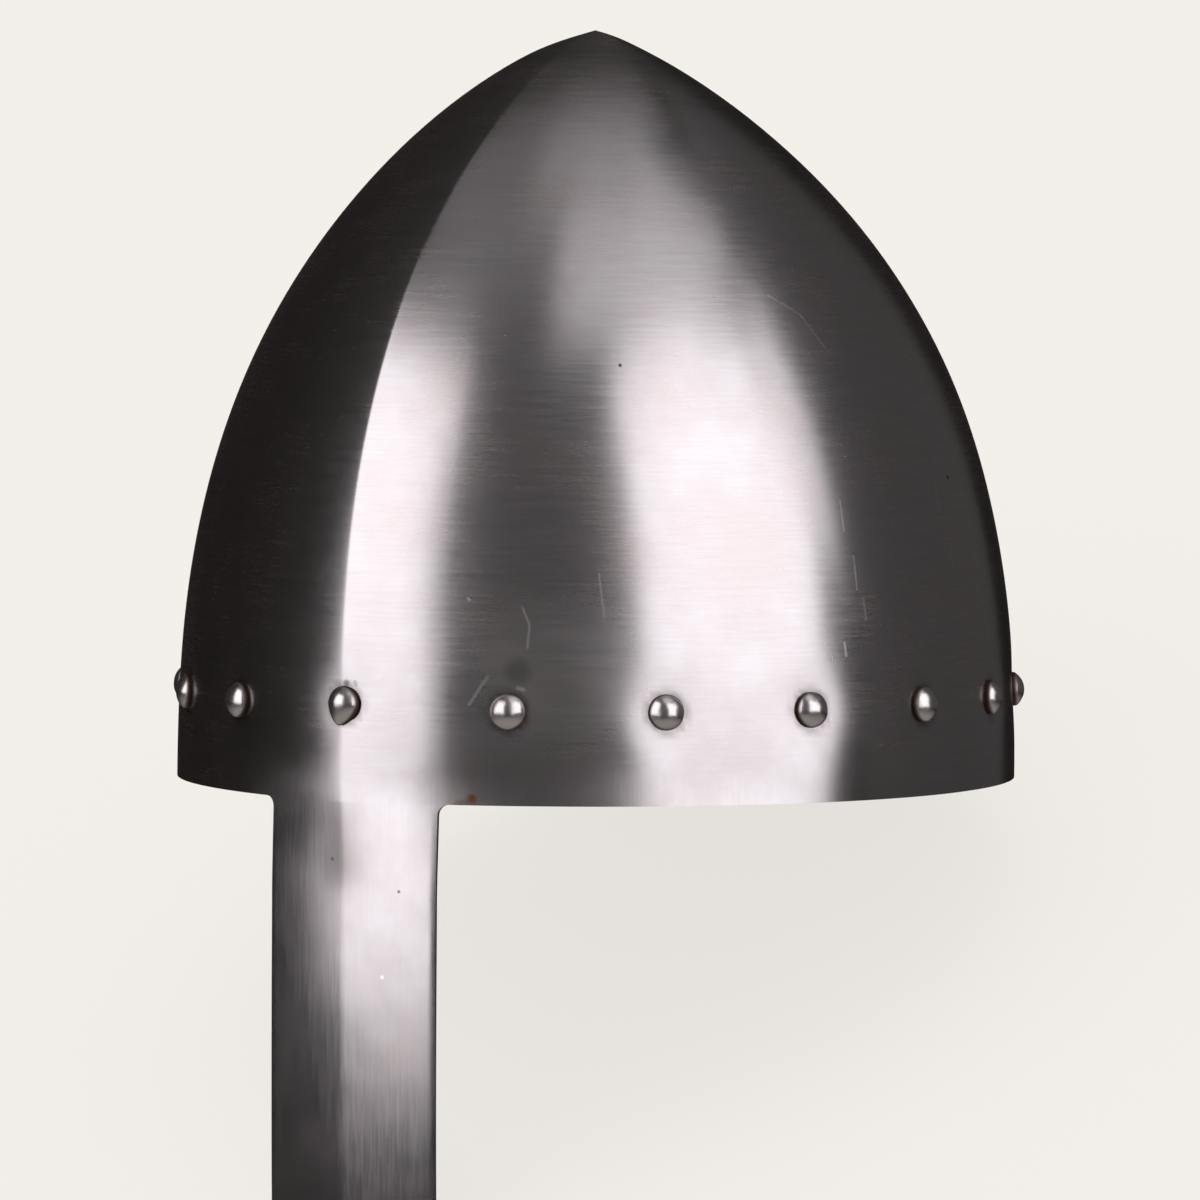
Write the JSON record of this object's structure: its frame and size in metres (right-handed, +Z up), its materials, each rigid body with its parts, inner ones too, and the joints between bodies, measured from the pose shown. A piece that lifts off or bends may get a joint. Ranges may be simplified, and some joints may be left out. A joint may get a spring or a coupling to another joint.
{
  "type": "nasal helmet",
  "caption": "Pointed steel skull with a medial front ridge that runs down an integral nasal bar, and a row of domed rivets above the open rim; worn on the head.",
  "frame": {"origin": "on the surface under the helmet, at the middle of its outline from above, with the helmet leaning back at rest on the nasal's end and the rim's back", "axes": "+Z up from the surface, the face towards -Y, +X to the right of somebody who looks at the face"},
  "size_m": [0.2086, 0.2858, 0.2205],
  "materials": {
    "skull_steel": "satin brushed mild steel, faint scratches and pits",
    "rivet_steel": "polished by wear, dark round the foot"
  },
  "bodies": {
    "root": {"skull_and_nasal": "skull_steel", "rivet_ridge": "rivet_steel", "rivet_right_1": "rivet_steel", "rivet_left_1": "rivet_steel", "rivet_right_2": "rivet_steel", "rivet_left_2": "rivet_steel", "rivet_right_3": "rivet_steel", "rivet_left_3": "rivet_steel", "rivet_right_4": "rivet_steel", "rivet_left_4": "rivet_steel", "rivet_right_5": "rivet_steel", "rivet_left_5": "rivet_steel", "rivet_right_6": "rivet_steel", "rivet_left_6": "rivet_steel", "rivet_right_7": "rivet_steel", "rivet_left_7": "rivet_steel", "rivet_right_8": "rivet_steel", "rivet_left_8": "rivet_steel", "rivet_back": "rivet_steel"}
  },
  "joints": []
}
